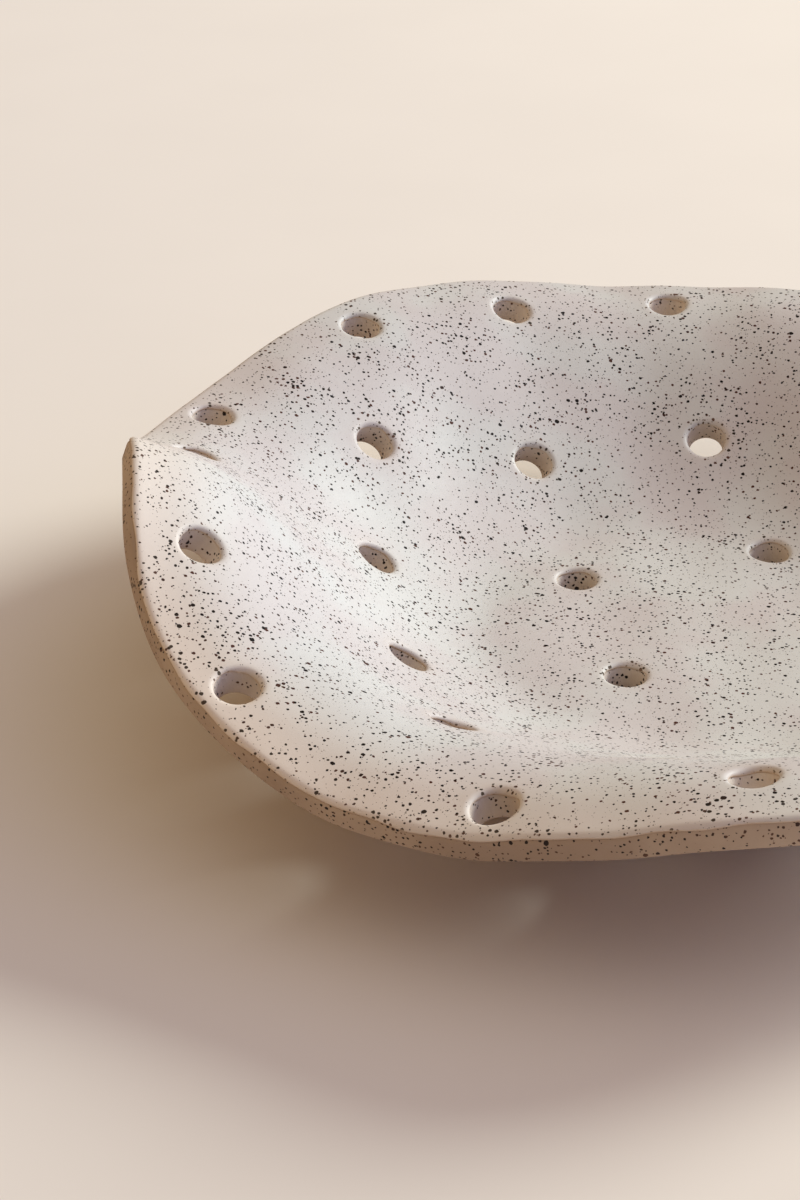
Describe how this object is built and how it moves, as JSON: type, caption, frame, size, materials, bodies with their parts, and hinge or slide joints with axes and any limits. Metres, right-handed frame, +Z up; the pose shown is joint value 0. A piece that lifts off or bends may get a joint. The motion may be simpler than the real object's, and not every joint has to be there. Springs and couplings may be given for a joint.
{
  "type": "berry colander bowl",
  "caption": "Shallow stoneware bowl with a waving rim, a pinched lip, drain holes all over and small feet, for rinsing and serving berries.",
  "frame": {"origin": "on the table the feet stand on, under the middle of the bowl's outline", "axes": "+Z up, out of the bowl's mouth; -X towards the pinched lip"},
  "size_m": [0.2204, 0.2222, 0.0556],
  "materials": {
    "stoneware_clay": "bare fired stoneware, warm tan, fine grit",
    "speckled_glaze": "satin oat-white glaze with dark iron speckles"
  },
  "bodies": {
    "root": {"bowl_body": "stoneware_clay", "glaze_coat": "speckled_glaze", "foot_1": "stoneware_clay", "foot_2": "stoneware_clay", "foot_3": "stoneware_clay"}
  },
  "joints": []
}
